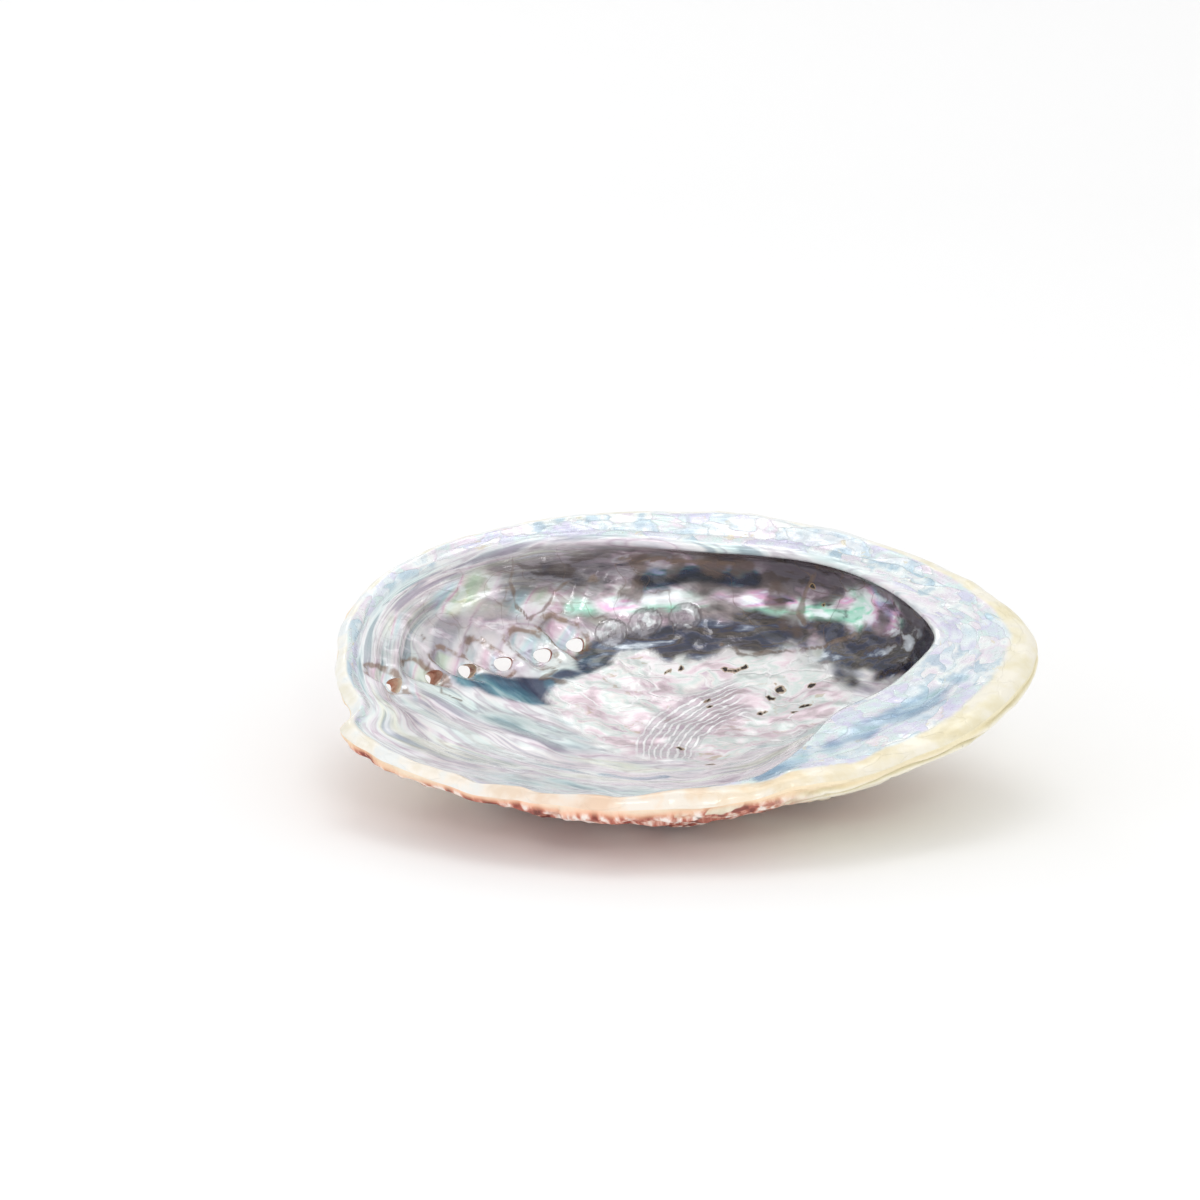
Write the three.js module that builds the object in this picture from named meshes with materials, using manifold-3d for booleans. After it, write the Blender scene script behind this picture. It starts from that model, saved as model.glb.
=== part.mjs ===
// An abalone shell lying on its back with the mouth up.
// The shell grew as one piece: a flat spiral that opens so fast that its last turn is
// nearly the whole shell. The coiled end is at +X, the growing lip at -X and -Y, and the
// shelf that the animal laid down beside the mouth runs along +Y and widens at the coil.
// Millimetres, +Z up, origin under the middle of the shell on the surface it rests on.
import * as THREE from 'three';
import { mergeVertices } from 'three/addons/utils/BufferGeometryUtils.js';
import Module from 'manifold-3d';

// Driving dimensions
const BOWL_DEPTH = 32;
const WALL = 3.4;
const LIP_THICKNESS = 3.2;
const LIP_SWELLING = 1.6;
const SHELF_NARROW = 5;
const SHELF_AT_COIL = 19;
const SHELF_RETURN = 6;
const SHELF_ALONG_SIDE = 7;
const SHELF_OVERHANG = 7;

// How the shell lies: tipped towards its growing lip, and rubbed flat where it touches
const TIP_FORWARD = 16;
const TIP_LEFT = -3;
const RUBBED_DEPTH = 0.8;

// The mouth's outline, anticlockwise from the coiled end: x, y and height
const MOUTH = [
  [74.9, -8.5, -0.2], [72.5, 2.5, 0.3], [63.5, 16.5, 0.6], [50.5, 29, 0.8], [33.5, 40.5, 0.8],
  [13.5, 49.3, 0.5], [-12, 52.6, 0], [-37.5, 49.5, 0], [-57.8, 39.3, -0.3], [-70.5, 25, -0.6],
  [-74.6, 8, -1], [-73.2, -9, -1.2], [-71, -17.5, -1.9], [-72.6, -25, -1.2],
  [-61.5, -37.5, -1], [-46.5, -47.8, -1.5], [-25, -56.8, -0.8], [-3, -58.7, -1.6],
  [19, -56, -0.8], [40, -48.5, -1.4], [57.5, -38, -0.8], [69.5, -23, -0.4],
];
const MOUTH_MIDDLE_Y = -3;

// The deepest point of the bowl is nearer the shelf than the lip
const DEEPEST = new THREE.Vector2(9, 12);

// The seam between the turns of the coil, a spiral that winds in to the apex on the back
const APEX = new THREE.Vector2(15, 12);
const SEAM_REACH = 50;
const SEAM_GROWTH = 0.37;
const SEAM_DEPTH = 2.4;
const SEAM_SWELLING = 1.2;
const SEAM_TURNS = 3;

// Breathing pores follow the keel: open ones first from the lip, then sealed ones
const OPEN_PORES = [[-61.5, 1.5], [-54, 11], [-47.5, 18.5], [-40, 24], [-31.5, 29.3], [-23.5, 33.8]];
const SEALED_PORES = [[-16, 37.5], [-7.7, 39.3], [1, 39.6], [10, 39.3], [19.5, 38], [29, 35]];
const PORE_LENGTH = 4.2;
const PORE_WIDTH = 3.2;
const PORE_HEADING = 97;
const PORE_FAN = 2.6;
const PORE_FAN_START = -42;
const PORE_DROP = 36;
const PORE_REACH = 24;
const KNOB_HEIGHT = 2;
const KNOB_SPREAD = 4.5;
const FOLD_HEIGHT = 0.7;

// Fineness of the facets
const SECTORS = 84;
const INSIDE_RINGS = 23;
const BACK_RINGS = 25;
const PORE_SIDES = 16;

const SHELL_COLOUR = '#e6ded6';
const DEGREE = Math.PI / 180;

// 1 in one direction round the mouth, fading to 0 away from it, all in degrees
function hill(direction, centre, spread) {
  const apart = ((direction - centre + 540) % 360) - 180;
  return Math.exp(-((apart / spread) ** 2));
}

function mix(from, to, amount) {
  return from + (to - from) * amount;
}

// Thickness of the lip, swollen along the growing side and round the coil
function lipThickness(direction) {
  return LIP_THICKNESS + LIP_SWELLING * hill(direction, -95, 50) + 0.8 * hill(direction, -15, 30);
}

// The inside of the wall in one direction from the deepest point, as distance and height:
// up the bowl, under and over the shelf, to the top of the lip
function insideSection(direction, reach, lipHeight) {
  const shelf = Math.min(1, 1.25 * hill(direction, 55, 92));
  const shelfWidth = SHELF_NARROW + SHELF_AT_COIL * hill(direction, -18, 44)
    + SHELF_RETURN * hill(direction, -48, 18) + SHELF_ALONG_SIDE * hill(direction, 88, 38);
  const overhang = SHELF_OVERHANG * (hill(direction, 12, 42) + 0.5 * hill(direction, 85, 50));
  const steepness = 1.5 + 2.6 * hill(direction, 75, 60) + 1.5 * hill(direction, 5, 40)
    + 0.5 * hill(direction, 180, 35);
  const wallTop = -3.7 - 9 * hill(direction, 45, 62);
  const edge = reach - shelfWidth;
  const widest = edge + overhang;
  const points = [[0, -BOWL_DEPTH], [0.16 * widest, -BOWL_DEPTH]];
  for (const part of [0.36, 0.56, 0.76, 0.92, 1]) {
    points.push([widest * part, mix(-BOWL_DEPTH, wallTop, part ** steepness)]);
  }
  points.push([mix(edge + 0.8, widest - 0.6 * overhang, shelf), mix(-3.1, -5.2, shelf)]);
  points.push([edge + mix(1.6, -0.3, shelf), mix(-2.5, -4, shelf)]);
  points.push([edge + mix(2.4, -0.4, shelf), mix(-1.8, -1.2, shelf)]);
  points.push([edge + mix(2.9, 0.45 * shelfWidth, shelf), mix(-1.2, -1.5, shelf)]);
  points.push([reach - 1.4, lipHeight + 0.2]);
  points.push([reach + 0.4, lipHeight - 0.4 * lipThickness(direction)]);
  return points;
}

// The back of the wall in the same direction, from the lip down to the lowest point
function backSection(direction, reach, lipHeight) {
  const steepness = 1.9 + 3.0 * hill(direction, 80, 50) + 1.1 * hill(direction, 40, 40)
    + 0.7 * hill(direction, 180, 35);
  const thickness = lipThickness(direction);
  const points = [[reach + 0.4, lipHeight - 0.4 * thickness]];
  const knee = lipHeight - thickness;
  for (const part of [1, 0.97, 0.92, 0.85, 0.76, 0.65, 0.52, 0.38, 0.24]) {
    points.push([reach * part, mix(-BOWL_DEPTH - WALL, knee, part ** steepness)]);
  }
  points.push([0.1 * reach, -BOWL_DEPTH - WALL], [0, -BOWL_DEPTH - WALL]);
  return points;
}

// A uniform cubic spline guided by the points, starting and ending on the end points
function splinePoint(points, part) {
  const last = points.length - 1;
  const place = Math.min(part * last, last - 1e-9);
  const span = Math.floor(place);
  const t = place - span;
  const weights = [
    (1 - t) ** 3 / 6,
    (3 * t ** 3 - 6 * t ** 2 + 4) / 6,
    (-3 * t ** 3 + 3 * t ** 2 + 3 * t + 1) / 6,
    t ** 3 / 6,
  ];
  const guides = [
    points[span - 1] ?? reflected(points[0], points[1]),
    points[span],
    points[span + 1],
    points[span + 2] ?? reflected(points[last], points[last - 1]),
  ];
  return [0, 1].map((axis) => weights.reduce((sum, w, i) => sum + w * guides[i][axis], 0));
}

function reflected(end, next) {
  return [2 * end[0] - next[0], 2 * end[1] - next[1]];
}

const mouthCurve = new THREE.CatmullRomCurve3(
  MOUTH.map(([x, y, z]) => new THREE.Vector3(x, y, z)), true, 'centripetal');

// Points from the deepest point out to the lip and back underneath, for one turn value
function wallLine(turn) {
  const lip = mouthCurve.getPointAt(turn);
  const outward = new THREE.Vector2(lip.x, lip.y).sub(DEEPEST);
  const reach = outward.length();
  outward.normalize();
  const direction = Math.atan2(lip.y - MOUTH_MIDDLE_Y, lip.x) / DEGREE;
  const inside = insideSection(direction, reach, lip.z);
  const back = backSection(direction, reach, lip.z);
  const line = [];
  for (let i = 0; i <= INSIDE_RINGS; i += 1) line.push(splinePoint(inside, i / INSIDE_RINGS));
  for (let i = 1; i <= BACK_RINGS; i += 1) line.push(splinePoint(back, i / BACK_RINGS));
  return line.map(([distance, height]) => new THREE.Vector3(
    DEEPEST.x + outward.x * distance, DEEPEST.y + outward.y * distance, height));
}

// How far the back stands out from its plain form: the coil's seam and swelling, the
// knobs over the pores, and the folds left by growth
function backRelief(x, y) {
  const spread = Math.hypot(x - APEX.x, y - APEX.y) + 0.5;
  const turn = Math.atan2(y - APEX.y, x - APEX.x);
  let relief = 0;
  for (let lap = 0; lap < SEAM_TURNS; lap += 1) {
    const seam = SEAM_REACH * Math.exp(SEAM_GROWTH * (turn - 2 * Math.PI * lap + 0.2));
    const size = Math.min(1, seam / 32);
    relief -= SEAM_DEPTH * size * Math.exp(-(((spread - seam) / (0.07 * seam + 1.5)) ** 2));
    relief += SEAM_SWELLING * size * Math.exp(-(((spread - 0.74 * seam) / (0.16 * seam)) ** 2));
  }
  for (const [poreX, poreY] of [...OPEN_PORES, ...SEALED_PORES]) {
    const away = Math.hypot(x - 1.06 * poreX, y - 1.06 * poreY);
    relief += KNOB_HEIGHT * Math.exp(-((away / KNOB_SPREAD) ** 2));
  }
  const folds = Math.sin(8 * turn - 0.09 * spread) * Math.sin(0.15 * spread + 2 * turn);
  return relief + FOLD_HEIGHT * folds * Math.min(1, spread / 45);
}

// The closed wall, as rings of points from the bowl's floor round the lip to the back
function wallGeometry() {
  const lines = [];
  for (let i = 0; i < SECTORS; i += 1) lines.push(wallLine(i / SECTORS));
  const rings = INSIDE_RINGS + BACK_RINGS;
  for (let ring = INSIDE_RINGS + 1; ring < rings; ring += 1) {
    const fade = Math.min(1, (ring - INSIDE_RINGS) / 5);
    const moved = lines.map((line, i) => {
      const next = lines[(i + 1) % SECTORS][ring];
      const before = lines[(i + SECTORS - 1) % SECTORS][ring];
      const around = next.clone().sub(before);
      const down = line[ring + 1].clone().sub(line[ring - 1]);
      const outward = down.cross(around).normalize();
      return outward.multiplyScalar(fade * backRelief(line[ring].x, line[ring].y));
    });
    moved.forEach((shift, i) => lines[i][ring].add(shift));
  }
  const faces = [];
  for (let ring = 0; ring < rings; ring += 1) {
    for (let i = 0; i < SECTORS; i += 1) {
      const a = i * (rings + 1) + ring;
      const b = ((i + 1) % SECTORS) * (rings + 1) + ring;
      if (ring > 0) faces.push(a, a + 1, b);
      if (ring < rings - 1) faces.push(b, a + 1, b + 1);
    }
  }
  const geometry = new THREE.BufferGeometry().setFromPoints(lines.flat());
  geometry.setIndex(faces);
  return mergeVertices(geometry, 1e-4);
}

// An oval cutter through the wall at each open pore, with the long side along the keel.
// They slant out and down to the side that the shelf is on, and those nearest the lip
// fan round towards it.
function poreCutters(wall) {
  const target = new THREE.Mesh(wall, new THREE.MeshBasicMaterial());
  const down = new THREE.Vector3(0, 0, -1);
  return OPEN_PORES.map(([x, y]) => {
    const heading = (PORE_HEADING + PORE_FAN * Math.max(0, PORE_FAN_START - x)) * DEGREE;
    const out = new THREE.Vector3(Math.cos(heading), Math.sin(heading), 0);
    const axis = out.clone().multiplyScalar(Math.cos(PORE_DROP * DEGREE));
    axis.z = -Math.sin(PORE_DROP * DEGREE);
    const alongKeel = new THREE.Vector3(-out.y, out.x, 0);
    const across = new THREE.Vector3().crossVectors(axis, alongKeel);
    const above = new THREE.Raycaster(new THREE.Vector3(x, y, 2 * BOWL_DEPTH), down);
    const centre = above.intersectObject(target)[0].point;
    const cutter = new THREE.CylinderGeometry(0.5, 0.5, PORE_REACH, PORE_SIDES);
    cutter.scale(PORE_WIDTH, 1, PORE_LENGTH);
    cutter.translate(0, PORE_REACH / 4, 0);
    cutter.applyMatrix4(new THREE.Matrix4().makeBasis(across, axis, alongKeel));
    return cutter.translate(centre.x, centre.y, centre.z);
  });
}

const wasm = await Module();
wasm.setup();

function toSolid(geometry) {
  const bare = geometry.clone();
  bare.deleteAttribute('normal');
  bare.deleteAttribute('uv');
  const merged = mergeVertices(bare, 1e-4);
  return new wasm.Manifold(new wasm.Mesh({
    numProp: 3,
    vertProperties: new Float32Array(merged.attributes.position.array),
    triVerts: new Uint32Array(merged.index.array),
  }));
}

function toGeometry(solid) {
  const { vertProperties, triVerts } = solid.getMesh();
  const geometry = new THREE.BufferGeometry();
  geometry.setAttribute('position', new THREE.BufferAttribute(vertProperties, 3));
  geometry.setIndex(new THREE.BufferAttribute(triVerts, 1));
  geometry.computeBoundingBox();
  return geometry;
}

// The shell as it lies: pores opened, tipped over, rubbed flat below and set on z = 0
function lyingShell() {
  const wall = wallGeometry();
  let solid = toSolid(wall);
  for (const cutter of poreCutters(wall)) solid = solid.subtract(toSolid(cutter));
  const tipped = toGeometry(solid);
  tipped.rotateX(TIP_FORWARD * DEGREE).rotateY(TIP_LEFT * DEGREE);
  tipped.computeBoundingBox();
  const { min, max } = tipped.boundingBox;
  const floor = new THREE.BoxGeometry(3 * (max.x - min.x), 3 * (max.y - min.y), BOWL_DEPTH);
  floor.translate(0, 0, min.z + RUBBED_DEPTH - BOWL_DEPTH / 2);
  const rubbed = toGeometry(toSolid(tipped).subtract(toSolid(floor)));
  rubbed.translate(-(min.x + max.x) / 2, -(min.y + max.y) / 2, -min.z - RUBBED_DEPTH);
  return rubbed;
}

const shell = new THREE.Mesh(lyingShell(), new THREE.MeshStandardMaterial({
  color: SHELL_COLOUR, roughness: 0.3, metalness: 0.1,
}));
shell.name = 'abalone_shell';

const group = new THREE.Group();
group.add(shell);

export default group;
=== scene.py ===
import math
import bpy
import numpy as np
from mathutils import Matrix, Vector
from mathutils.kdtree import KDTree


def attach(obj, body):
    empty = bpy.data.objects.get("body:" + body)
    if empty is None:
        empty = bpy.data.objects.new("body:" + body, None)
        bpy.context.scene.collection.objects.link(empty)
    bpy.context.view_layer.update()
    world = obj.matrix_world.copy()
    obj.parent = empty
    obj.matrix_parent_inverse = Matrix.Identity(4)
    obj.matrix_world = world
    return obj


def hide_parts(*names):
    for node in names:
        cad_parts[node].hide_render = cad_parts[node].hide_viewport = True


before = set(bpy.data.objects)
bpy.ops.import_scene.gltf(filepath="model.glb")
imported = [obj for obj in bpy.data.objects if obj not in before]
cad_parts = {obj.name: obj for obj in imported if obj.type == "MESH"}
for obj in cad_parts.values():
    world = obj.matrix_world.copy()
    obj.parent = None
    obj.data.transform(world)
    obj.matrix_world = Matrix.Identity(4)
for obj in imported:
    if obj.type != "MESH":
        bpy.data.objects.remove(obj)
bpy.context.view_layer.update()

# ----------------------------------------
# The wall of the shell. One piece of grown calcium carbonate: a bowl that runs up to a
# growing lip on the near side and left, and to a broad shelf over the coil. It is made
# as two sheets of four-sided faces, the inside and the back, that meet along the lip.
# Millimetres, with the mouth level; the shell is tipped into its lying place further on.
BOWL_DEPTH = 32
WALL = 3.4
LIP_THICKNESS = 3.2
LIP_SWELLING = 1.6
SHELF_NARROW = 5
SHELF_AT_COIL = 19
SHELF_RETURN = 6
SHELF_ALONG_SIDE = 7
SHELF_OVERHANG = 7
MOUTH = np.array([
    [74.9, -8.5, -0.2], [72.5, 2.5, 0.3], [63.5, 16.5, 0.6], [50.5, 29, 0.8],
    [33.5, 40.5, 0.8], [13.5, 49.3, 0.5], [-12, 52.6, 0], [-37.5, 49.5, 0],
    [-57.8, 39.3, -0.3], [-70.5, 25, -0.6], [-74.6, 8, -1], [-73.2, -9, -1.2],
    [-71, -17.5, -1.9], [-72.6, -25, -1.2], [-61.5, -37.5, -1], [-46.5, -47.8, -1.5],
    [-25, -56.8, -0.8], [-3, -58.7, -1.6], [19, -56, -0.8], [40, -48.5, -1.4],
    [57.5, -38, -0.8], [69.5, -23, -0.4]])
MOUTH_MIDDLE = (0, -3)
DEEPEST = np.array([9.0, 12.0])
GRID = 214
LIP_CLOSENESS = 1.3


def hill(direction, centre, spread):
    """1 in one direction round the mouth, fading to 0 away from it, in degrees."""
    apart = (direction - centre + 540) % 360 - 180
    return np.exp(-(apart / spread) ** 2)


def mix(low, high, amount):
    return low + (high - low) * amount


def smooth(low, high, value):
    """0 below low, 1 above high, and a soft step between."""
    t = np.clip((value - low) / (high - low), 0, 1)
    return t * t * (3 - 2 * t)


def mouth_curve(samples=4000):
    """The lip as evenly spaced points: a centripetal spline through the outline."""
    rows = []
    count = len(MOUTH)
    for i in range(count):
        p0, p1, p2, p3 = (MOUTH[(i + k - 1) % count].astype(float) for k in range(4))
        d01, d12, d23 = (max(np.linalg.norm(b - a), 1e-9) ** 0.5
                         for a, b in ((p0, p1), (p1, p2), (p2, p3)))
        m1 = (p2 - p1) / d12 - (p2 - p0) / (d12 + d01) + (p1 - p0) / d01
        m2 = (p3 - p2) / d23 - (p3 - p1) / (d23 + d12) + (p2 - p1) / d12
        m1, m2 = m1 * d12, m2 * d12
        for t in np.linspace(0, 1, 60, endpoint=False):
            rows.append((2 * t ** 3 - 3 * t ** 2 + 1) * p1 + (t ** 3 - 2 * t ** 2 + t) * m1
                        + (-2 * t ** 3 + 3 * t ** 2) * p2 + (t ** 3 - t ** 2) * m2)
    rows = np.array(rows + rows[:1])
    steps = np.linalg.norm(np.diff(rows, axis=0), axis=1)
    length = np.concatenate([[0], np.cumsum(steps)])
    wanted = np.linspace(0, length[-1], samples)
    return np.stack([np.interp(wanted, length, rows[:, k]) for k in range(3)], axis=1)


LIP_LINE = mouth_curve()


def lip_at(turn):
    place = np.linspace(0, 1, len(LIP_LINE))
    return np.stack([np.interp(turn % 1, place, LIP_LINE[:, k]) for k in range(3)], axis=1)


def lip_thickness(direction):
    """Thickness of the lip, swollen along the growing side and round the coil."""
    return (LIP_THICKNESS + LIP_SWELLING * hill(direction, -95, 50)
            + 0.8 * hill(direction, -15, 30))


def shelf_width(direction):
    return (SHELF_NARROW + SHELF_AT_COIL * hill(direction, -18, 44)
            + SHELF_RETURN * hill(direction, -48, 18)
            + SHELF_ALONG_SIDE * hill(direction, 88, 38))


def inside_guides(direction, reach, lip_height):
    """Guide points of the inside: up the bowl, under and over the shelf, to the lip."""
    shelf = np.minimum(1, 1.25 * hill(direction, 55, 92))
    width = shelf_width(direction)
    overhang = SHELF_OVERHANG * (hill(direction, 12, 42) + 0.5 * hill(direction, 85, 50))
    steepness = (1.5 + 2.6 * hill(direction, 75, 60) + 1.5 * hill(direction, 5, 40)
                 + 0.5 * hill(direction, 180, 35))
    wall_top = -3.7 - 9 * hill(direction, 45, 62)
    edge = reach - width
    widest = edge + overhang
    floor = np.full_like(reach, -BOWL_DEPTH)
    guides = [(0 * reach, floor), (0.16 * widest, floor)]
    for part in (0.36, 0.56, 0.76, 0.92, 1):
        guides.append((widest * part, mix(floor, wall_top, part ** steepness)))
    guides += [(mix(edge + 0.8, widest - 0.6 * overhang, shelf), mix(-3.1, -5.2, shelf)),
               (edge + mix(1.6, -0.3, shelf), mix(-2.5, -4, shelf)),
               (edge + mix(2.4, -0.4, shelf), mix(-1.8, -1.2, shelf)),
               (edge + mix(2.9, 0.45 * width, shelf), mix(-1.2, -1.5, shelf)),
               (reach - 1.4, lip_height + 0.2),
               (reach + 0.4, lip_height - 0.4 * lip_thickness(direction))]
    return np.array(guides)


def back_guides(direction, reach, lip_height):
    """Guide points of the back, from the lip down to the lowest point."""
    steepness = (1.9 + 3.0 * hill(direction, 80, 50) + 1.1 * hill(direction, 40, 40)
                 + 0.7 * hill(direction, 180, 35))
    thickness = lip_thickness(direction)
    knee = lip_height - thickness
    bottom = np.full_like(reach, -BOWL_DEPTH - WALL)
    guides = [(reach + 0.4, lip_height - 0.4 * thickness)]
    for part in (1, 0.97, 0.92, 0.85, 0.76, 0.65, 0.52, 0.38, 0.24):
        guides.append((reach * part, mix(bottom, knee, part ** steepness)))
    guides += [(0.1 * reach, bottom), (0 * reach, bottom)]
    return np.array(guides)


def spline(guides, part):
    """A uniform cubic spline guided by the points; guides is (count, 2, n), part is (n,)."""
    last = len(guides) - 1
    ends = np.concatenate([[2 * guides[0] - guides[1]], guides, [2 * guides[-1] - guides[-2]]])
    place = np.minimum(part * last, last - 1e-9)
    span = np.floor(place).astype(int)
    t = place - span
    weights = ((1 - t) ** 3 / 6, (3 * t ** 3 - 6 * t ** 2 + 4) / 6,
               (-3 * t ** 3 + 3 * t ** 2 + 3 * t + 1) / 6, t ** 3 / 6)
    column = np.arange(len(part))
    return sum(w[:, None] * ends[span + k, :, column] for k, w in enumerate(weights))


def bearing_from(middle, points):
    return np.arctan2(points[:, 1] - middle[1], points[:, 0] - middle[0])


def mouth_direction(lip):
    return np.degrees(bearing_from(MOUTH_MIDDLE, lip))


def outward_from_deepest(points):
    """Level directions of length 1 away from the deepest point, and how far out it is."""
    away = points[:, :2] - DEEPEST
    reach = np.linalg.norm(away, axis=1)
    return away / reach[:, None], reach


def sheet_points(turn, part, back):
    """Points of one sheet, at a turn round the mouth and a part of the way to the lip."""
    lip = lip_at(turn)
    outward, reach = outward_from_deepest(lip)
    guides = (back_guides if back else inside_guides)(mouth_direction(lip), reach, lip[:, 2])
    section = spline(guides, 1 - part if back else part)
    flat = DEEPEST + outward * section[:, :1]
    return np.column_stack([flat, section[:, 1]])


def even_parts(turn, out, back):
    """The part that spaces rows evenly along each section, and closer near the lip."""
    lines, marks = 361, 121
    part = np.linspace(0, 1, marks)
    line_turn = np.repeat(np.linspace(0, 1 - 1e-9, lines), marks)
    points = sheet_points(line_turn, np.tile(part, lines), back).reshape(lines, marks, 3)
    steps = np.linalg.norm(np.diff(points, axis=1), axis=2)
    to_lip = steps[:, ::-1].cumsum(axis=1)[:, ::-1]
    steps = steps * (1 + LIP_CLOSENESS * np.exp(-(to_lip / 4) ** 2))
    length = np.concatenate([np.zeros((lines, 1)), steps.cumsum(axis=1)], axis=1)
    key = (2 * np.arange(lines)[:, None] + length / length[:, -1:]).ravel()
    row = turn * (lines - 1)
    first = np.floor(row).astype(int)
    found = 0
    for index, weight in ((first, 1 - row + first), (first + 1, row - first)):
        line = np.minimum(index, lines - 1)
        found = found + weight * np.interp(2 * line + out, key, np.tile(part, lines))
    return found


def square_grid(size):
    """A square grid wrapped on a disc: its own two coordinates, turn and fraction out."""
    steps = np.linspace(-1, 1, size + 1)
    a, b = (axis.ravel() for axis in np.meshgrid(steps, steps, indexing="ij"))
    wide = np.abs(a) > np.abs(b)
    radius = np.where(wide, a, b)
    safe = np.where(radius == 0, 1, radius)
    angle = np.where(wide, math.pi / 4 * b / safe, math.pi / 2 - math.pi / 4 * a / safe)
    turn = np.arctan2(radius * np.sin(angle), radius * np.cos(angle)) / (2 * math.pi)
    return np.column_stack([a, b]), turn % 1, np.abs(radius)


def square_faces(size):
    corner = np.arange(size * (size + 1)).reshape(size, size + 1)[:, :-1].ravel()
    return np.column_stack([corner, corner + size + 1, corner + size + 2, corner + 1])


square, turn, out = square_grid(GRID)
count = len(turn)
inner = out < 1 - 1e-9
inside_place = sheet_points(turn, even_parts(turn, out, False), False)
back_place = sheet_points(turn, even_parts(turn, out, True), True)

faces = square_faces(GRID)
back_index = np.where(inner, count + np.cumsum(inner) - 1, np.arange(count))
faces = np.concatenate([faces, back_index[faces][:, ::-1]])
place = np.concatenate([inside_place, back_place[inner]])
turn = np.concatenate([turn, turn[inner]])
square = np.concatenate([square, square[inner]])
is_back = np.arange(len(place)) >= count
lip = lip_at(turn)
from_lip = np.linalg.norm(place - lip, axis=1)
direction = mouth_direction(lip)


def vertex_normals(points):
    quads = points[faces]
    cross = np.cross(quads[:, 2] - quads[:, 0], quads[:, 3] - quads[:, 1])
    total = np.zeros_like(points)
    for k in range(4):
        for axis in range(3):
            total[:, axis] += np.bincount(faces[:, k], cross[:, axis], len(points))
    return total / np.maximum(np.linalg.norm(total, axis=1, keepdims=True), 1e-9)


LATTICE = np.random.default_rng(7).uniform(-1, 1, (32, 32, 32))


def cloud(points, size, octaves=1, shift=0.0):
    """Smooth random unevenness between about -1 and 1, with lumps of the given size."""
    total = 0
    for octave in range(octaves):
        where = points / size * 2 ** octave + shift + 9.7 * octave
        cell = np.floor(where).astype(int)
        t = where - cell
        t = t * t * (3 - 2 * t)
        value = 0
        for corner in range(8):
            offset = np.array([corner & 1, corner >> 1 & 1, corner >> 2 & 1])
            weight = np.prod(np.where(offset, t, 1 - t), axis=1)
            value = value + weight * LATTICE[tuple(((cell + offset) % 32).T)]
        total = total + 0.5 ** octave * value
    return total


# The lip is not even: it waves in and out, and up and down, along the growing side.
around = np.column_stack([57 * np.cos(2 * math.pi * turn), 57 * np.sin(2 * math.pi * turn)])
growing = np.clip(hill(direction, -90, 62) + 0.35 * hill(direction, 180, 60), 0, 1)
wave = cloud(np.column_stack([around, 0 * turn]), 13, 3, 2.5)
near_lip = np.exp(-(from_lip / 8) ** 2) * (0.25 + growing)
outward = outward_from_deepest(lip)[0]
shape = place.copy()
shape[:, :2] += outward * (1.1 * wave * near_lip)[:, None]
shape[:, 2] += 0.9 * cloud(np.column_stack([around, 0 * turn + 40]), 17, 2, 4.1) * near_lip
normal = vertex_normals(shape)

# ----------------------------------------
# The inside, where the animal lay. Mother-of-pearl was laid over scooped hollows behind
# each breathing pore, blisters over the sealed pores, the channel under the keel, and the
# flaky scar where the big muscle held. Long ripples follow the growing lip.
OPEN_PORES = [(-61.5, 1.5), (-54, 11), (-47.5, 18.5), (-40, 24), (-31.5, 29.3), (-23.5, 33.8)]
SEALED_PORES = [(-16, 37.5), (-7.7, 39.3), (1, 39.6), (10, 39.3), (19.5, 38), (29, 35)]
PORE_LENGTH = 4.2
PORE_WIDTH = 3.2
KEEL = [(-71, -17.5), (-66, -7), *OPEN_PORES, *SEALED_PORES, (40, 29), (50, 18)]
SCAR_MIDDLE = np.array([4.0, 14.0])
SCAR = [(-30, 19), (-19, 28.5), (3, 32.5), (17, 31.5), (32, 26), (36, 16), (25, 6), (7, -4),
        (-8, -7), (-22, 3)]
ARC_MIDDLE = np.array([20.0, -3.0])
BOW_MIDDLE = np.array([0.0, 85.0, 0.0])
BOW_RADIUS = 137
NEAR_FOLD_HEIGHT = 0.95
CHANNEL_DEPTH = 0.9
SCOOP_DEPTH = 1.9
FLAKE_HEIGHT = 0.2
GROOVE_DEPTH = 0.45
STREAK_DEPTH = 0.6


def segments(line):
    line = np.array(line, float)
    return zip(line[:-1], line[1:])


def line_distance(points, line):
    """Distance to the nearest point of a broken line."""
    best = np.full(len(points), 1e9)
    for start, end in segments(line):
        length = np.linalg.norm(end - start)
        t = np.clip((points - start) @ (end - start) / length ** 2, 0, 1)
        away = np.linalg.norm(points - start - t[:, None] * (end - start), axis=1)
        best = np.minimum(best, away)
    return best


def blot(centre, halves):
    """1 in the middle of a soft egg-shaped spot, fading to 0 outside its half sizes."""
    return np.exp(-(((place - centre) / halves) ** 2).sum(axis=1))


def shaken(points, amount, size, shifts):
    """Positions pushed about a little, by clouds with one shift for each axis."""
    return points + amount * np.column_stack([cloud(place, size, 2, k) for k in shifts])


def ring_reach(points, middle, outline):
    """How far out points are from the middle, as a share of a closed outline's reach."""
    outline = np.array(outline, float)
    angles = bearing_from(middle, outline)
    order = np.argsort(angles)
    reach = np.linalg.norm(outline - middle, axis=1)[order]
    here = np.interp(bearing_from(middle, points), angles[order], reach, period=2 * math.pi)
    return np.linalg.norm(points - middle, axis=1) / here


def nearest_finder(points):
    finder = KDTree(len(points))
    for index, point in enumerate(points):
        finder.insert(point, index)
    finder.balance()
    return finder


def floor_under(x, y):
    """The point of the inside sheet straight below a place in the mouth."""
    away = np.linalg.norm(inside_place[:, :2] - (x, y), axis=1)
    low = np.where(away < 1.2, inside_place[:, 2], 99)
    return inside_place[np.argmin(low)]


plan = place[:, :2]
height = place[:, 2]
inside = ~is_back
# Coordinates that follow growth: round the mouth, and in from the lip
grain = np.column_stack([around, from_lip])
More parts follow.
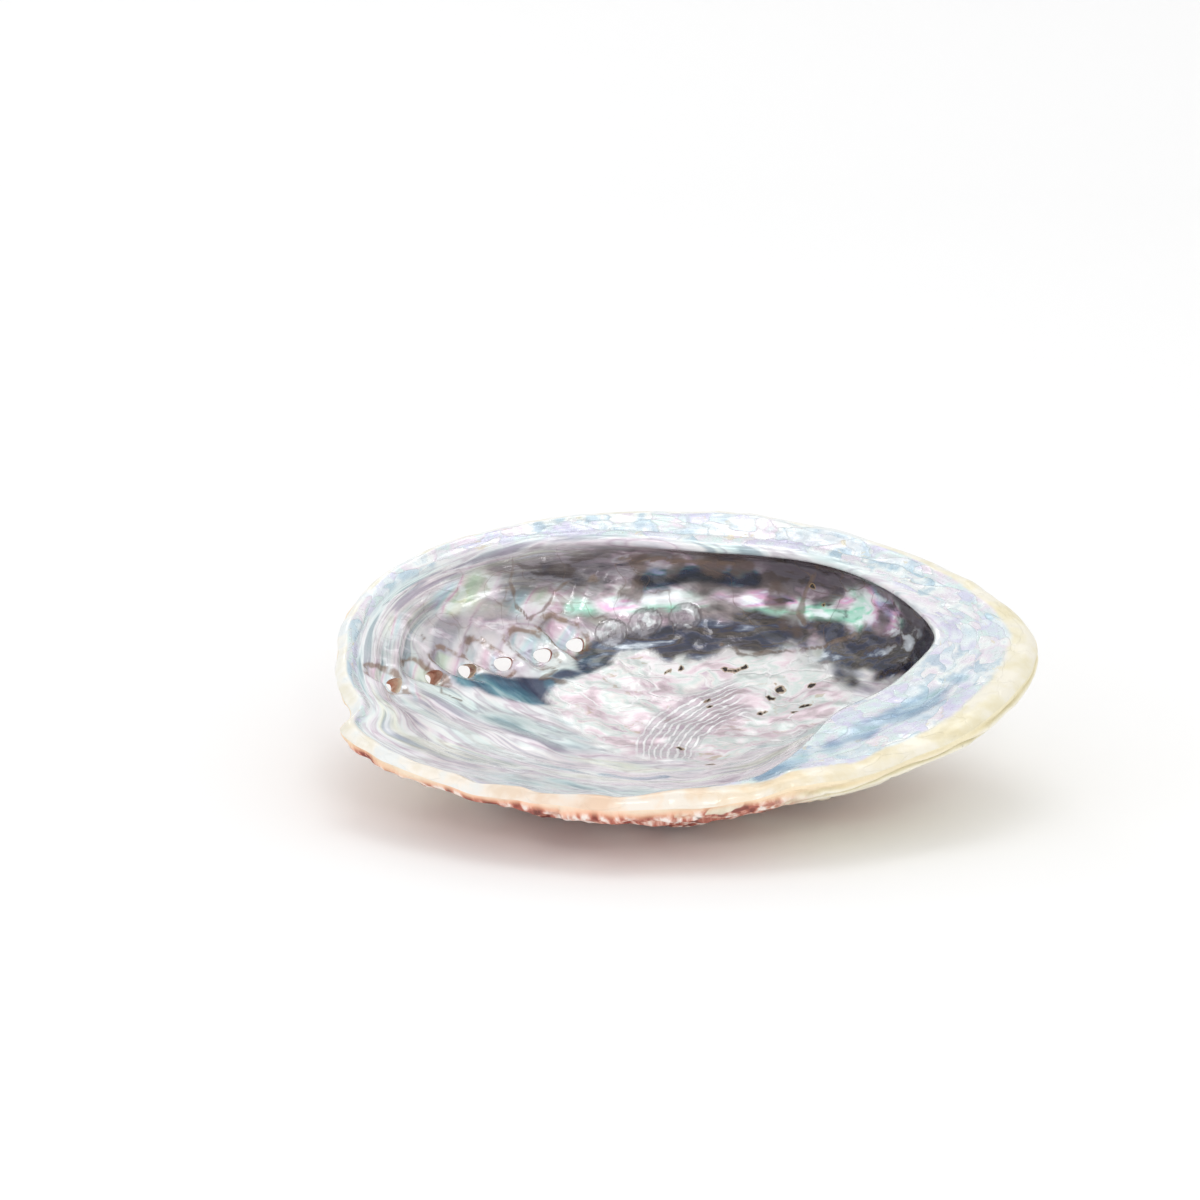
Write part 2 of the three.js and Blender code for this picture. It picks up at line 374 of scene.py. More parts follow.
# The same for the silky streaks, which deeper in run from end to end in one wide bow
bow_depth = BOW_RADIUS - np.linalg.norm(place - BOW_MIDDLE, axis=1)
in_bow = smooth(2, 18, from_lip) * np.clip(1.6 * hill(direction, -125, 90), 0, 1)
silk = np.column_stack([plan, mix(from_lip, bow_depth, in_bow)])
keel_away = line_distance(plan, KEEL)
low_inside = inside * (1 - smooth(-8, -3.5, height))
scar_reach = ring_reach(plan, SCAR_MIDDLE, SCAR)
scar_edge = scar_reach + 0.10 * cloud(place, 9, 3, 1.3)
scar = low_inside * (1 - smooth(0.92, 1.04, scar_edge))
shelf_part = np.clip(from_lip / shelf_width(direction), 0, 3)

relief = np.zeros(len(place))
slopes = low_inside * (1 - scar) * smooth(0, 4, from_lip)
long_grain = silk * (0.22, 0.22, 1)
near_folds = 0.5 + 0.7 * hill(direction, -130, 90)
relief += slopes * NEAR_FOLD_HEIGHT * cloud(long_grain, 7, 2, 3.3) * near_folds
relief += slopes * 0.45 * cloud(place * (1, 1, 1.4), 7, 2, 8.8)
slanting = np.column_stack([height - 0.8 * plan[:, 0], 0.35 * (height + plan[:, 0]), 0 * height])
relief += slopes * 0.5 * cloud(slanting, 6, 2, 5.1) * hill(direction, 130, 50)
relief -= (low_inside * CHANNEL_DEPTH * np.exp(-(keel_away / 4) ** 2)
           * smooth(4, 12, from_lip))
steps_up = 3.2 * cloud(place * (1, 1.5, 1), 8, 3, 6.1)
relief += scar * (0.45 + 0.30 * (np.floor(steps_up) + smooth(0.75, 1.0, steps_up % 1)))

pore_places = [floor_under(x, y) for x, y in OPEN_PORES]
hollows = np.zeros(len(place))
for centre in pore_places:
    out_way = centre[:2] - DEEPEST
    out_way = out_way / np.linalg.norm(out_way)
    up_wall = np.array([*(0.72 * out_way), 0.69])
    along_keel = np.array([-out_way[1], out_way[0], 0])
    u = (place - centre) @ along_keel
    v = (place - centre) @ up_wall
    bent = u + 1.0 * cloud(place, 5, 2, centre[0])
    scoop = np.exp(-(bent / 2.9) ** 4 - ((v - 3.2) / 5.6) ** 4)
    hollows = np.maximum(hollows, inside * scoop)
    relief -= inside * (SCOOP_DEPTH * scoop + 0.8 * np.exp(-(u * u + v * v) / 2.8 ** 2))
blisters = np.zeros(len(place))
for centre in [floor_under(x, y) for x, y in SEALED_PORES[:3]]:
    away = np.linalg.norm((place - centre) * (1, 1.15, 1.15), axis=1) * (
        1.12 + 0.22 * cloud(place, 5, 2, centre[0]))
    bump = (1.8 * (1 - smooth(2.6, 4.0, away)) - 1.5 * (1 - smooth(1.3, 2.4, away))
            + 1.4 * (1 - smooth(0.2, 1.3, away)))
    relief += inside * bump
    blisters = np.maximum(blisters, inside * (1 - smooth(3.4, 4.4, away)))
# The shelf: flaky layers outside, a groove, and a smooth rolled edge over the bowl
flaky = inside * (1 - smooth(0.66, 0.86, shelf_part)) * smooth(-4, -2.6, height)
flaky = flaky * smooth(0.2, 2.2, from_lip) * smooth(6, 9, shelf_width(direction))
flakes = 2.2 * cloud(grain * (0.6, 0.6, 1), 8, 3, 12.4)
relief += flaky * FLAKE_HEIGHT * (np.floor(flakes) + smooth(0.75, 1.0, flakes % 1))
groove = np.exp(-((shelf_part - 0.7) / 0.05) ** 2) * hill(direction, 85, 70)
relief -= inside * GROOVE_DEPTH * groove * smooth(-4, -2.6, height)
STREAK = [(16, -50.5), (29, -42.5), (40, -34), (51, -26), (58.5, -19)]
streak_away = line_distance(plan, STREAK)
relief -= (inside * STREAK_DEPTH * np.exp(-(streak_away / 2.6) ** 2)
           * smooth(-9, -5, height))
band_width = 1.8 + 4.2 * hill(direction, -15, 32) + 3.6 * hill(direction, -108, 45)
lip_band = from_lip / band_width
lip_lumps = inside * (1 - smooth(1.0, 1.5, lip_band))
relief += lip_lumps * 0.35 * cloud(grain * (0.7, 0.7, 1), 5, 2, 7.7)

# ----------------------------------------
# The back, a crust of brick, salmon and cream layers. The coil's seam winds in to the
# apex, knobs stand over the pores, old lips show as steps, and fine cords follow the
# spiral. The outside of the shelf end is a stack of thin ivory layers.
APEX = np.array([15.0, 12.0])
SEAM_REACH = 50
SEAM_GROWTH = 0.37
SEAM_DEPTH = 2.4
KNOB_HEIGHT = 2
KNOB_REACH = 4.5
KNOBS_FURTHER_OUT = 1.06
OLD_LIPS = 17
OLD_LIP_HEIGHT = 0.75
BROAD_FOLD_HEIGHT = 0.7
IVORY_LAYER = 2.1
THINNEST = 2.2

spread = np.linalg.norm(plan - APEX, axis=1) + 0.5
bearing = bearing_from(APEX, plan)
age = ring_reach(plan, APEX, [tuple(p[:2]) for p in LIP_LINE[::40]])
coil = bearing - np.log(spread / 70) / SEAM_GROWTH
seam_close = np.zeros(len(place))
back_relief = np.zeros(len(place))
for lap in range(3):
    seam = SEAM_REACH * np.exp(SEAM_GROWTH * (bearing - 2 * math.pi * lap + 0.2))
    size = np.minimum(1, seam / 32)
    dip = np.exp(-((spread - seam) / (0.07 * seam + 1.5)) ** 2)
    seam_close = np.maximum(seam_close, size * np.exp(-np.abs(spread - seam) / 1.6))
    back_relief += size * (1.2 * np.exp(-((spread - 0.74 * seam) / (0.16 * seam)) ** 2)
                           - SEAM_DEPTH * dip)
knobs = np.zeros(len(place))
uneven = shaken(plan, 1.3, 6, (1.1, 4.4))
for pore in OPEN_PORES + SEALED_PORES:
    away = np.linalg.norm(uneven - KNOBS_FURTHER_OUT * np.array(pore), axis=1)
    ring = np.exp(-(away / KNOB_REACH) ** 2)
    knobs = np.maximum(knobs, ring)
    back_relief += KNOB_HEIGHT * ring
folds = np.sin(8 * bearing - 0.09 * spread) * np.sin(0.15 * spread + 2 * bearing)
back_relief += BROAD_FOLD_HEIGHT * folds * np.minimum(1, spread / 45)
old_lips = OLD_LIPS * age + 1.1 * cloud(place, 16, 3, 2.2)
lip_step = old_lips % 1
lamella = smooth(0, 0.85, lip_step) * (1 - smooth(0.93, 1.0, lip_step))
near_side = hill(direction, -95, 75)
scaly = 0.25 + 0.75 * near_side * smooth(0.55, 0.9, age) + 0.8 * hill(direction, 120, 50)
coiled = np.column_stack([60 * np.cos(coil), 60 * np.sin(coil), 22 * age])
back_relief += (OLD_LIP_HEIGHT * (lamella - 0.5) * scaly
                * (1 + 0.5 * cloud(place, 7, 1, 5.0)))
back_relief += 0.32 * cloud(coiled * (1, 1, 0.35), 3.4, 2, 3.9)
back_relief += 0.7 * cloud(place, 6, 3, 9.3) * (0.5 + 0.5 * smooth(0.2, 0.5, age))
# Ivory layers stand out below the shelf, from the seam up to the lip at the coiled end
ivory = (hill(direction, -8, 52) + 0.55 * hill(direction, 60, 40)) * smooth(0.66, 0.82, age)
ivory = np.clip(1.6 * ivory, 0, 1)
stack = (height + 1.6 * cloud(place, 15, 2, 6.6)) / IVORY_LAYER
stack = 0.5 + 0.5 * np.sin(2 * math.pi * stack)
stacked = 0.4 * folds + 0.75 * stack + 0.35 * cloud(place, 8, 2, 5.5)
back_relief = mix(back_relief, stacked, ivory)
back_relief *= smooth(0, 3.5, from_lip)
# Nowhere does the back dip so far that the wall gets thinner than THINNEST
lined = shape + normal * relief[:, None]
lining = nearest_finder(lined[:count])
wall_here = np.array([lining.find(point)[2] for point in shape[is_back]])
thin = THINNEST - wall_here
back_relief[is_back] = np.maximum(back_relief[is_back],
                                  thin * smooth(3, 6, from_lip[is_back]))
shape = shape + normal * np.where(is_back, back_relief, relief)[:, None]

# ----------------------------------------
# The shell as it lies: tipped towards the growing lip, rubbed flat where it touches, and
# set down with its outline centred. The open pores are cut through the wall as slanting
# oval holes, so light comes in through them.
TIP_FORWARD = math.radians(16)
TIP_LEFT = math.radians(-3)
RUBBED_SHARE = 0.006
PORE_HEADING = 97
PORE_FAN = 2.6
PORE_FAN_START = -42
PORE_DROP = math.radians(36)
PORE_REACH = 24
PORE_SIDES = 28
MAP_HALF = 0.48


def tipped(points):
    x, y, z = np.asarray(points, float).T
    y, z = (y * math.cos(TIP_FORWARD) - z * math.sin(TIP_FORWARD),
            y * math.sin(TIP_FORWARD) + z * math.cos(TIP_FORWARD))
    x, z = (x * math.cos(TIP_LEFT) + z * math.sin(TIP_LEFT),
            -x * math.sin(TIP_LEFT) + z * math.cos(TIP_LEFT))
    return np.column_stack([x, y, z])


lying = tipped(shape)
low, high = lying.min(axis=0), lying.max(axis=0)
seat = np.array([*((low + high) / 2)[:2], np.quantile(lying[:, 2], RUBBED_SHARE)])
lying = lying - seat
lying[:, 2] = np.maximum(lying[:, 2], 0)


def placed(name, data):
    """A new object in the scene that shows a mesh, a lamp or a lens."""
    thing = bpy.data.objects.new(name, data)
    bpy.context.collection.objects.link(thing)
    return thing


def solid_mesh(name, points, loops):
    mesh = bpy.data.meshes.new(name)
    mesh.from_pydata((points / 1000).tolist(), [], [list(loop) for loop in loops])
    return placed(name, mesh)


def pore_frames():
    """Centre, axis out through the wall, across and along the keel, for each open pore."""
    for (x, y), centre in zip(OPEN_PORES, pore_places):
        heading = math.radians(PORE_HEADING + PORE_FAN * max(0, PORE_FAN_START - x))
        out_way = np.array([math.cos(heading), math.sin(heading), 0])
        axis = out_way * math.cos(PORE_DROP) - np.array([0, 0, math.sin(PORE_DROP)])
        along_keel = np.array([-out_way[1], out_way[0], 0])
        across = np.cross(axis, along_keel)
        turned = tipped([axis, across, along_keel])
        yield tipped([centre])[0] - seat, *turned


def pore_cutters():
    points, loops = [], []
    for centre, axis, across, along_keel in pore_frames():
        first = len(points)
        for end in (-0.25, 0.75):
            for step in range(PORE_SIDES):
                angle = 2 * math.pi * step / PORE_SIDES
                ragged = 1 + 0.07 * math.sin(3 * angle + first)
                points.append(centre + axis * end * PORE_REACH
                              + across * ragged * PORE_WIDTH / 2 * math.cos(angle)
                              + along_keel * ragged * PORE_LENGTH / 2 * math.sin(angle))
        for step in range(PORE_SIDES):
            after = (step + 1) % PORE_SIDES
            loops.append((first + after, first + step,
                          first + PORE_SIDES + step, first + PORE_SIDES + after))
        loops.append(range(first, first + PORE_SIDES))
        loops.append(range(first + 2 * PORE_SIDES - 1, first + PORE_SIDES - 1, -1))
    return solid_mesh("pore_cutters", np.array(points), loops)


shell = solid_mesh("abalone_shell_grown", lying, faces.tolist())
cutters = pore_cutters()
cut = shell.modifiers.new("pores", "BOOLEAN")
cut.operation = "DIFFERENCE"
cut.solver = "MANIFOLD"
cut.object = cutters
opened = shell.evaluated_get(bpy.context.evaluated_depsgraph_get())
mesh = bpy.data.meshes.new_from_object(opened)
shell.modifiers.clear()
shell.data = mesh
bpy.data.objects.remove(cutters)
mesh.name = "abalone_shell_wall"
mesh.materials.clear()
mesh.shade_smooth()
mesh.set_sharp_from_angle(angle=math.radians(60))


def whole_numbers(items, field):
    values = np.empty(len(items), int)
    items.foreach_get(field, values)
    return values


grown_points = nearest_finder(lying / 1000)
source = np.array([grown_points.find(vertex.co)[1] for vertex in mesh.vertices])
corner_source = source[whole_numbers(mesh.loops, "vertex_index")]
starts = whole_numbers(mesh.polygons, "loop_start")
face_is_back = np.logical_or.reduceat(is_back[corner_source], starts)
mesh.polygons.foreach_set("material_index", face_is_back.astype(np.int32))

# The map for the finish: the inside's square grid in the upper half, the back's below
on_back = np.repeat(face_is_back, whole_numbers(mesh.polygons, "loop_total"))
flat = square[corner_source] * MAP_HALF + 0.5
flat[:, 1] = np.where(on_back, flat[:, 1] / 2, flat[:, 1] / 2 + 0.5)
layer = mesh.uv_layers.new(name="OFBake")
layer.data.foreach_set("uv", flat.astype(np.float32).ravel())


def give_masks(**masks):
    """Store numbers, or vectors of three, at each point for the finishes to read."""
    for name, values in masks.items():
        kind, field = ("FLOAT", "value") if values.ndim == 1 else ("FLOAT_VECTOR", "vector")
        mask = mesh.attributes.new(name, kind, "POINT")
        mask.data.foreach_set(field, values[source].astype(np.float32).ravel())


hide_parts("abalone_shell")
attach(shell, "root")

# ----------------------------------------
# Finish of the inside: mother-of-pearl, silver with cyan, pink and green light in it, and
# painted highlights and glints. The wall under the shelf is taupe with brown growth veins and
# painted shade where the shelf overhangs, painted dark reflections lie below the keel, the
# muscle scar is chalky and pitted, and the lip is a plain cream and peach band.
def ribbon(line, width):
    """1 along a line on the wall, fading to 0 away from it."""
    return np.exp(-(line_distance(place, line) / width) ** 2)


def on_wall(line, step=2.0):
    """A line drawn as close to the inside of the wall as its points allow."""
    found = []
    for start, end in segments(line):
        pieces = max(1, round(np.linalg.norm(end - start) / step))
        for part in np.arange(pieces) / pieces:
            spot = start + part * (end - start)
            found.append(inside_place[np.argmin(((inside_place - spot) ** 2).sum(axis=1))])
    return found


def ragged(mask, low=0.35, high=0.65, size=6.0, amount=0.45):
    """The same spot with a torn edge."""
    return smooth(low, high, mask * (1 + 2 * amount * cloud(place, size, 3, 3.7)))


foot = -23 + 11 * hill(direction, 185, 50)
under_shelf = hill(direction, 76, 93) * smooth(foot - 4, foot + 4, height) * low_inside
give_masks(place=place, grain=grain, silk=silk, slant=slanting, scar=scar, hollows=hollows,
           blisters=blisters)
taupe_strength = 0.75 + 0.5 * hill(direction, 50, 60)
give_masks(taupe=np.clip(1.6 * under_shelf, 0, 1) * taupe_strength)
# Painted shadow: a dark line just under the shelf's rolled edge, where it overhangs the wall.
give_masks(under_edge=inside * np.exp(-((height + 6) / 1.7) ** 2) * hill(direction, 55, 50))
give_masks(shelf=inside * (1 - smooth(0.86, 1.06, shelf_part)) * smooth(-4.6, -2.8, height))
give_masks(scar_rim=low_inside * np.exp(-((scar_edge - 0.98) / 0.035) ** 2))
give_masks(lip_band=np.clip(1.6 - lip_band, 0, 1.6))

# Painted dark reflections: navy, teal and mauve pools in the nacre below the keel and on the far
# wall.
KEEL_REFLECTIONS = [(-19, 30, -25), (-7.8, 33.5, -26), (3.5, 35, -25.6), (17, 34, -25.6),
              (29, 30.5, -25), (41, 24.5, -22), (51, 17, -16.5)]
TEAL_REFLECTIONS = [(-47, 14, -18.5), (-38, 16, -22.5), (-30, 18, -25), (-25, 22, -26)]
UPPER_REFLECTIONS = [(14, 37, -21), (26, 34.5, -21), (38, 29.5, -19), (48, 22, -15)]
MAUVE_REFLECTION = [(34, 24, -27), (38, 17, -27), (46, 17, -22)]
pool = np.maximum.reduce([1.9 * ribbon(KEEL_REFLECTIONS, 4.8), 1.5 * ribbon(TEAL_REFLECTIONS, 3.8),
                          1.2 * ribbon(UPPER_REFLECTIONS, 4.2), 0.8 * ribbon(MAUVE_REFLECTION, 3.0)])
give_masks(pool=ragged(low_inside * pool, 0.3, 0.7, 9, 0.4))
# Painted shade: darker nacre in the pockets under the overhanging shelf.
pocket = np.maximum.reduce([blot((52, 20, -9), (18, 13, 7)), blot((30, 38, -9), (20, 9, 6)),
                            0.7 * blot((-22, 44, -10), (22, 7, 5))])
give_masks(pocket=low_inside * np.clip(1.3 * pocket, 0, 1))
give_masks(teal=low_inside * ribbon(TEAL_REFLECTIONS, 7))
# Painted dark reflection: a navy band high on the far wall.
NAVY_REFLECTION = on_wall([(-8, 44.4, -14), (4.3, 44, -12.6), (11, 42.8, -12.8), (18, 41.4, -13.4)])
give_masks(navy=ragged(low_inside * ribbon(NAVY_REFLECTION, 2.6), 0.3, 0.7, 9, 0.25))
# Painted highlights: a band of glare along the far wall, and a patch at its right end.
HIGHLIGHT_BAND = [(-24, 39.8, -16.8), (-9.5, 41.6, -18), (4, 41.5, -17.8), (17.3, 40.2, -17.4),
               (26, 36.6, -18.7), (36, 33, -17), (44, 28, -14.5)]
blaze = np.maximum(0.9 * ribbon(HIGHLIGHT_BAND, 2.7), 1.5 * blot((41, 30, -14.5), (10, 8, 4.5)))
give_masks(blaze=ragged(low_inside * blaze, 0.3, 0.95, 7, 0.4))
# Painted highlights: soft bright glints on the far wall and round the left end.
glow = np.maximum.reduce([
    blot((-48, 35, -9), (13, 9, 4)), blot((-30, 39, -14.5), (11, 6, 4)),
    blot((-66, 20, -5), (6, 12, 5)), blot((-60, 2, -10), (7, 7, 4)),
    blot((47, 22, -17), (6, 8, 5)), blot((-18, 40.5, -15), (9, 5, 3.5))])
give_masks(glow=ragged(low_inside * glow, 0.25, 0.9, 9, 0.35))
SMEAR = [(-27, -19.7, -19.7), (-17, -19, -21.5), (-6, -20, -21.9)]
streaks = np.maximum(ribbon([(x, y, -2.5) for x, y in STREAK], 3.6), ribbon(SMEAR, 2.0))
give_masks(streak=ragged(inside * streaks * smooth(0.9, 1.3, lip_band), 0.3, 0.8, 8, 0.4))

VEINS = [[(-37, 44.5, -5), (-37.2, 40, -10.5), (-37, 37.6, -14.5), (-34, 35.3, -17),
          (-31, 37.6, -16.5), (-26.9, 42, -13.3), (-15.6, 44.2, -12.1)],
         [(31.5, 36.5, -5.5), (28.8, 37.9, -12), (26.3, 35.8, -19.8), (27.2, 33.6, -22.4)],
         [(8.2, 34.8, -24.8), (14.7, 31.5, -27), (24.7, 30.4, -25.5), (40.3, 28.3, -19.7)],
         [(-34, 31, -22), (-29.8, 25.4, -24.2), (-30.9, 21.3, -24), (-23.3, 21.4, -25.9)],
         [(-57, 21, -10), (-57, 14, -15), (-52.5, 5.3, -15), (-47, 6, -17.7)],
         [(-13.2, 45.4, -9.1), (0.2, 44.6, -8.7), (14.6, 42.2, -8.1)]]
wavy = shaken(place, 0.9, 4, (1.7, 5.3, 8.1))
vein_away = np.min([line_distance(wavy, on_wall(vein)) for vein in VEINS], axis=0)
give_masks(vein=low_inside * np.exp(-(vein_away / 0.7) ** 2))
BROWN_SMUDGES = [(-9, 44.6, -9.8), (-2, 44.8, -9.5), (8, 43.3, -9.4), (15, 41.4, -10),
                 (-11, 42.4, -14.5), (21, 38.8, -17), (25, 35, -21.5), (9, 29.6, -28.5)]
smudge = np.max([blot(spot, (3.8, 3.04, 3.8)) for spot in BROWN_SMUDGES], axis=0)
give_masks(smudge=ragged(low_inside * smudge, 0.4, 0.8, 3.5, 0.5))
PITS = [(11.2, 29.2, -29), (13.5, 29.8, -28.5), (9.2, 29.6, -28.6), (-3.8, 29.3, -28.4),
        (-0.8, 30, -28), (20.7, 23.9, -29.6), (21.3, 22.8, -30.6), (16.7, 16.4, -32),
        (18.8, 20.5, -31.1), (27.6, 22, -29.6), (4.7, 20.4, -31), (5.4, 18.3, -31.2),
        (14.8, 22.9, -30.3), (23.5, 14.7, -31.1), (-1.6, 2, -30.5), (4.5, -8.1, -27.1),
        (26.2, 16.8, -31), (32.1, 35.2, -16.8), (30.2, 37.1, -13.3)]
dashes = shaken(place, 0.5, 2, (0.6, 3.3, 7.2))
pit_away = np.min([np.linalg.norm((dashes - pit) * (0.75, 1.4, 1), axis=1) for pit in PITS],
                  axis=0)
give_masks(pits=low_inside * (1 - smooth(0.6, 1.3, pit_away)))
arc_away = np.linalg.norm(plan - ARC_MIDDLE, axis=1)
arc_turn = np.degrees(bearing_from(ARC_MIDDLE, plan)) % 360
give_masks(arc_away=arc_away)
arcs = scar * smooth(17, 21, arc_away) * (1 - smooth(29, 34, arc_away))
arcs *= smooth(98, 122, arc_turn) * (1 - smooth(165, 198, arc_turn))
give_masks(arcs=ragged(arcs, 0.05, 0.6, 4, 0.4))
give_masks(creamy=np.clip(hill(direction, -60, 75) + hill(direction, -12, 30), 0, 1))
give_masks(peach=hill(direction, -120, 44) + 0.5 * hill(direction, 100, 25))


def colour(code):
    """The light values that a shader wants for a colour written in hex."""
    parts = [int(code[k:k + 2], 16) / 255 for k in (1, 3, 5)]
    return (*[p / 12.92 if p < 0.04 else ((p + 0.055) / 1.055) ** 2.4 for p in parts], 1)


class Wire:
    """An output of a shader node. Arithmetic on it adds Math nodes beside it."""

    def __init__(self, finish, socket):
        self.finish = finish
        self.socket = socket

    def __add__(self, other):
        return self.finish.maths("ADD", self, other)

    def __sub__(self, other):
        return self.finish.maths("SUBTRACT", self, other)

    def __rsub__(self, other):
        return self.finish.maths("SUBTRACT", other, self)

    def __mul__(self, other):
        return self.finish.maths("MULTIPLY", self, other)

    def __abs__(self):
        return self.finish.maths("ABSOLUTE", self)

    __radd__ = __add__
    __rmul__ = __mul__


class Finish:
    """A material built from nodes, with the patterns that the shell's layers need."""

    def __init__(self, name):
        self.material = bpy.data.materials.new(name)
        self.material.use_nodes = True
        self.surface = self.material.node_tree.nodes["Principled BSDF"]
        self.base = None
        mesh.materials.append(self.material)

    def plug(self, socket, value):
        if isinstance(value, Wire):
            self.material.node_tree.links.new(value.socket, socket)
        else:
            socket.default_value = value

    def node(self, kind, settings, sockets, output=0):
        """Add a node: its settings, then its sockets' values or links. Returns an output."""
        made = self.material.node_tree.nodes.new("ShaderNode" + kind)
        for name, value in settings.items():
            if name == "stops":
                for place_at, code in value[2:]:
                    made.color_ramp.elements.new(place_at)
                for element, (place_at, code) in zip(made.color_ramp.elements, value):
                    element.position = place_at
                    element.color = colour(code)
            else:
                setattr(made, name, value)
        for name, value in sockets.items():
            self.plug(made.inputs[name], value)
        return Wire(self, made.outputs[output])

    def maths(self, operation, *values):
        return self.node("Math", {"operation": operation}, dict(enumerate(values)))

    def mask(self, name, output="Fac"):
        return self.node("Attribute", {"attribute_name": name}, {}, output)

    def points(self, name, scale=(1, 1, 1)):
        """Stored positions, stretched or squeezed along their axes."""
        stored = self.mask(name, "Vector")
        return self.node("VectorMath", {"operation": "MULTIPLY"}, {0: stored, 1: scale})

    def noise(self, where, scale, detail=3.0, output=0):
        return self.node("TexNoise", {}, {"Vector": where, "Scale": scale, "Detail": detail},
                         output)

    def moved(self, where, scale, amount, detail=2.0):
        """Positions pushed about by noise, so that patterns on them look grown."""
        push = self.noise(where, scale, detail, "Color")
        push = self.node("VectorMath", {"operation": "SCALE"}, {0: push, "Scale": amount})
        return self.node("VectorMath", {"operation": "ADD"}, {0: where, 1: push})

    def cells(self, where, scale, feature="F1", output=0):
        return self.node("TexVoronoi", {"feature": feature}, {"Vector": where, "Scale": scale},
                         output)

    def step(self, low, high, value):
        """0 below low and 1 above high, with a soft step between."""
        return self.node("MapRange", {"interpolation_type": "SMOOTHSTEP"},
                         {"Value": value, "From Min": low, "From Max": high})

    def line(self, value, middle, width):
        """1 where the value passes its middle, and 0 further away than the width."""
        return 1 - self.step(0.3 * width, width, abs(value - middle))

    def ramp(self, value, *stops):
        return self.node("ValToRGB", {"stops": sorted(stops)}, {"Fac": value})

    def blend(self, amount, low, high):
        low, high = (colour(c) if isinstance(c, str) else c for c in (low, high))
        return self.node("Mix", {"data_type": "RGBA"}, {0: amount, 6: low, 7: high}, 2)

    def cover(self, amount, layer):
        """Lay a colour over the base. At 1 it hides all that is below."""
        self.base = self.blend(amount, self.base, layer)

    def spread(self, roughness, height):
        """Connect what varies over the surface; height is in millimetres."""
        self.plug(self.surface.inputs["Base Color"], self.base)
        self.plug(self.surface.inputs["Roughness"], roughness)
        bump = self.node("Bump", {}, {"Strength": 1.0, "Distance": 0.001, "Height": height})
        self.plug(self.surface.inputs["Normal"], bump)


nacre = Finish("nacre")
where = nacre.points("place")
along_lip = nacre.moved(nacre.points("silk", (0.2, 0.2, 1)), 0.12, 3.0, 0.0)
spotty = nacre.moved(where, 0.12, 6.0)
fine = nacre.noise(where, 1.1, 4.0)
soft = nacre.noise(where, 0.16, 3.0)
stretched = nacre.moved(nacre.points("place", (0.2, 0.8, 0.8)), 0.2, 2.5)
streaky = nacre.noise(stretched, 0.4, 6.0)

# Silver, in long streaks that follow the lip, with faint washes of pink, cyan and green. The
# whitest streaks are painted highlights and the slate-grey ones are painted shade.
silver_hue = nacre.noise(along_lip, 0.2, 3.0)
nacre.base = nacre.ramp(silver_hue, (0.34, "#8496A4"), (0.41, "#E6F1F2"), (0.46, "#FFFFFF"),
                        (0.50, "#C4B8C4"), (0.54, "#F0FAF8"), (0.60, "#FFFFFA"),
                        (0.67, "#93A1AE"))
wash = nacre.ramp(nacre.noise(along_lip, 0.09, 2.0), (0.36, "#C9EAE8"), (0.45, "#F6F6F8"),
                  (0.52, "#F0D3E6"), (0.57, "#F4F2F4"), (0.62, "#EFF3CF"), (0.68, "#D2DFF2"))
nacre.cover(0.4, wash)

taupe_hue = 0.5 * nacre.noise(spotty, 0.08, 4.0) + 0.5 * streaky
taupe = nacre.ramp(taupe_hue, (0.34, "#453C3B"), (0.42, "#685C5B"), (0.47, "#8C7E7E"),
                   (0.51, "#786B71"), (0.55, "#B096A3"), (0.59, "#DCD2D8"), (0.64, "#7C737E"))
dusky = nacre.mask("taupe") * (0.5 + 0.8 * soft)
nacre.cover(nacre.maths("MINIMUM", dusky, 0.96), taupe)

# Painted highlights: rainbow glints of yellow, green, pink and cyan in slanting streaks.
rainbow_glint_hue = nacre.noise(nacre.moved(nacre.points("slant"), 0.1, 4.0), 0.14, 2.0)
rainbow_glints = nacre.ramp(rainbow_glint_hue, (0.30, "#DFE6AC"), (0.38, "#D0EDCB"), (0.45, "#FAF8EC"),
                     (0.50, "#F2BEDA"), (0.55, "#FBF6FA"), (0.61, "#C3E9EE"),
                     (0.69, "#CDBAE4"))
nacre.cover(0.6 * nacre.mask("glow"), rainbow_glints)

# Painted dark reflections: navy, brown and teal pools, with pale edges.
reflection_and_streak_hue = nacre.noise(along_lip, 0.22, 4.0)
dark_reflection = nacre.ramp(streaky, (0.34, "#0C1226"), (0.42, "#1B2848"), (0.46, "#4A4650"),
                       (0.49, "#1F1B1B"), (0.53, "#4A4038"), (0.57, "#262D48"),
                       (0.62, "#556178"), (0.70, "#CBD6E0"), (0.77, "#F8FBFD"))
teal_reflection = nacre.ramp(reflection_and_streak_hue, (0.34, "#1C3358"), (0.45, "#2A6A84"), (0.53, "#5796A6"),
                       (0.61, "#A9CED4"), (0.68, "#24405F"))
painted_reflection_colour = nacre.blend(nacre.mask("teal"), dark_reflection, teal_reflection)
nacre.cover(0.95 * nacre.mask("pool"), painted_reflection_colour)
# Painted highlights: glare of white, green, pink and cyan on the far wall.
painted_glare_hue = nacre.noise(nacre.moved(stretched, 0.2, 3.0), 0.2, 2.0)
blaze = nacre.ramp(painted_glare_hue, (0.30, "#D2F4EA"), (0.39, "#A2E8CC"), (0.45, "#F2FDFB"),
                   (0.51, "#F4BFE0"), (0.57, "#D0BBEA"), (0.63, "#B4EBF4"), (0.70, "#F2FAFD"))
# Painted shade in the pockets under the shelf, darkest between the streaks.
nacre.cover(0.9 * nacre.mask("pocket"), "#463F4A")
nacre.cover(nacre.mask("blaze") * nacre.step(0.30, 0.44, streaky), blaze)
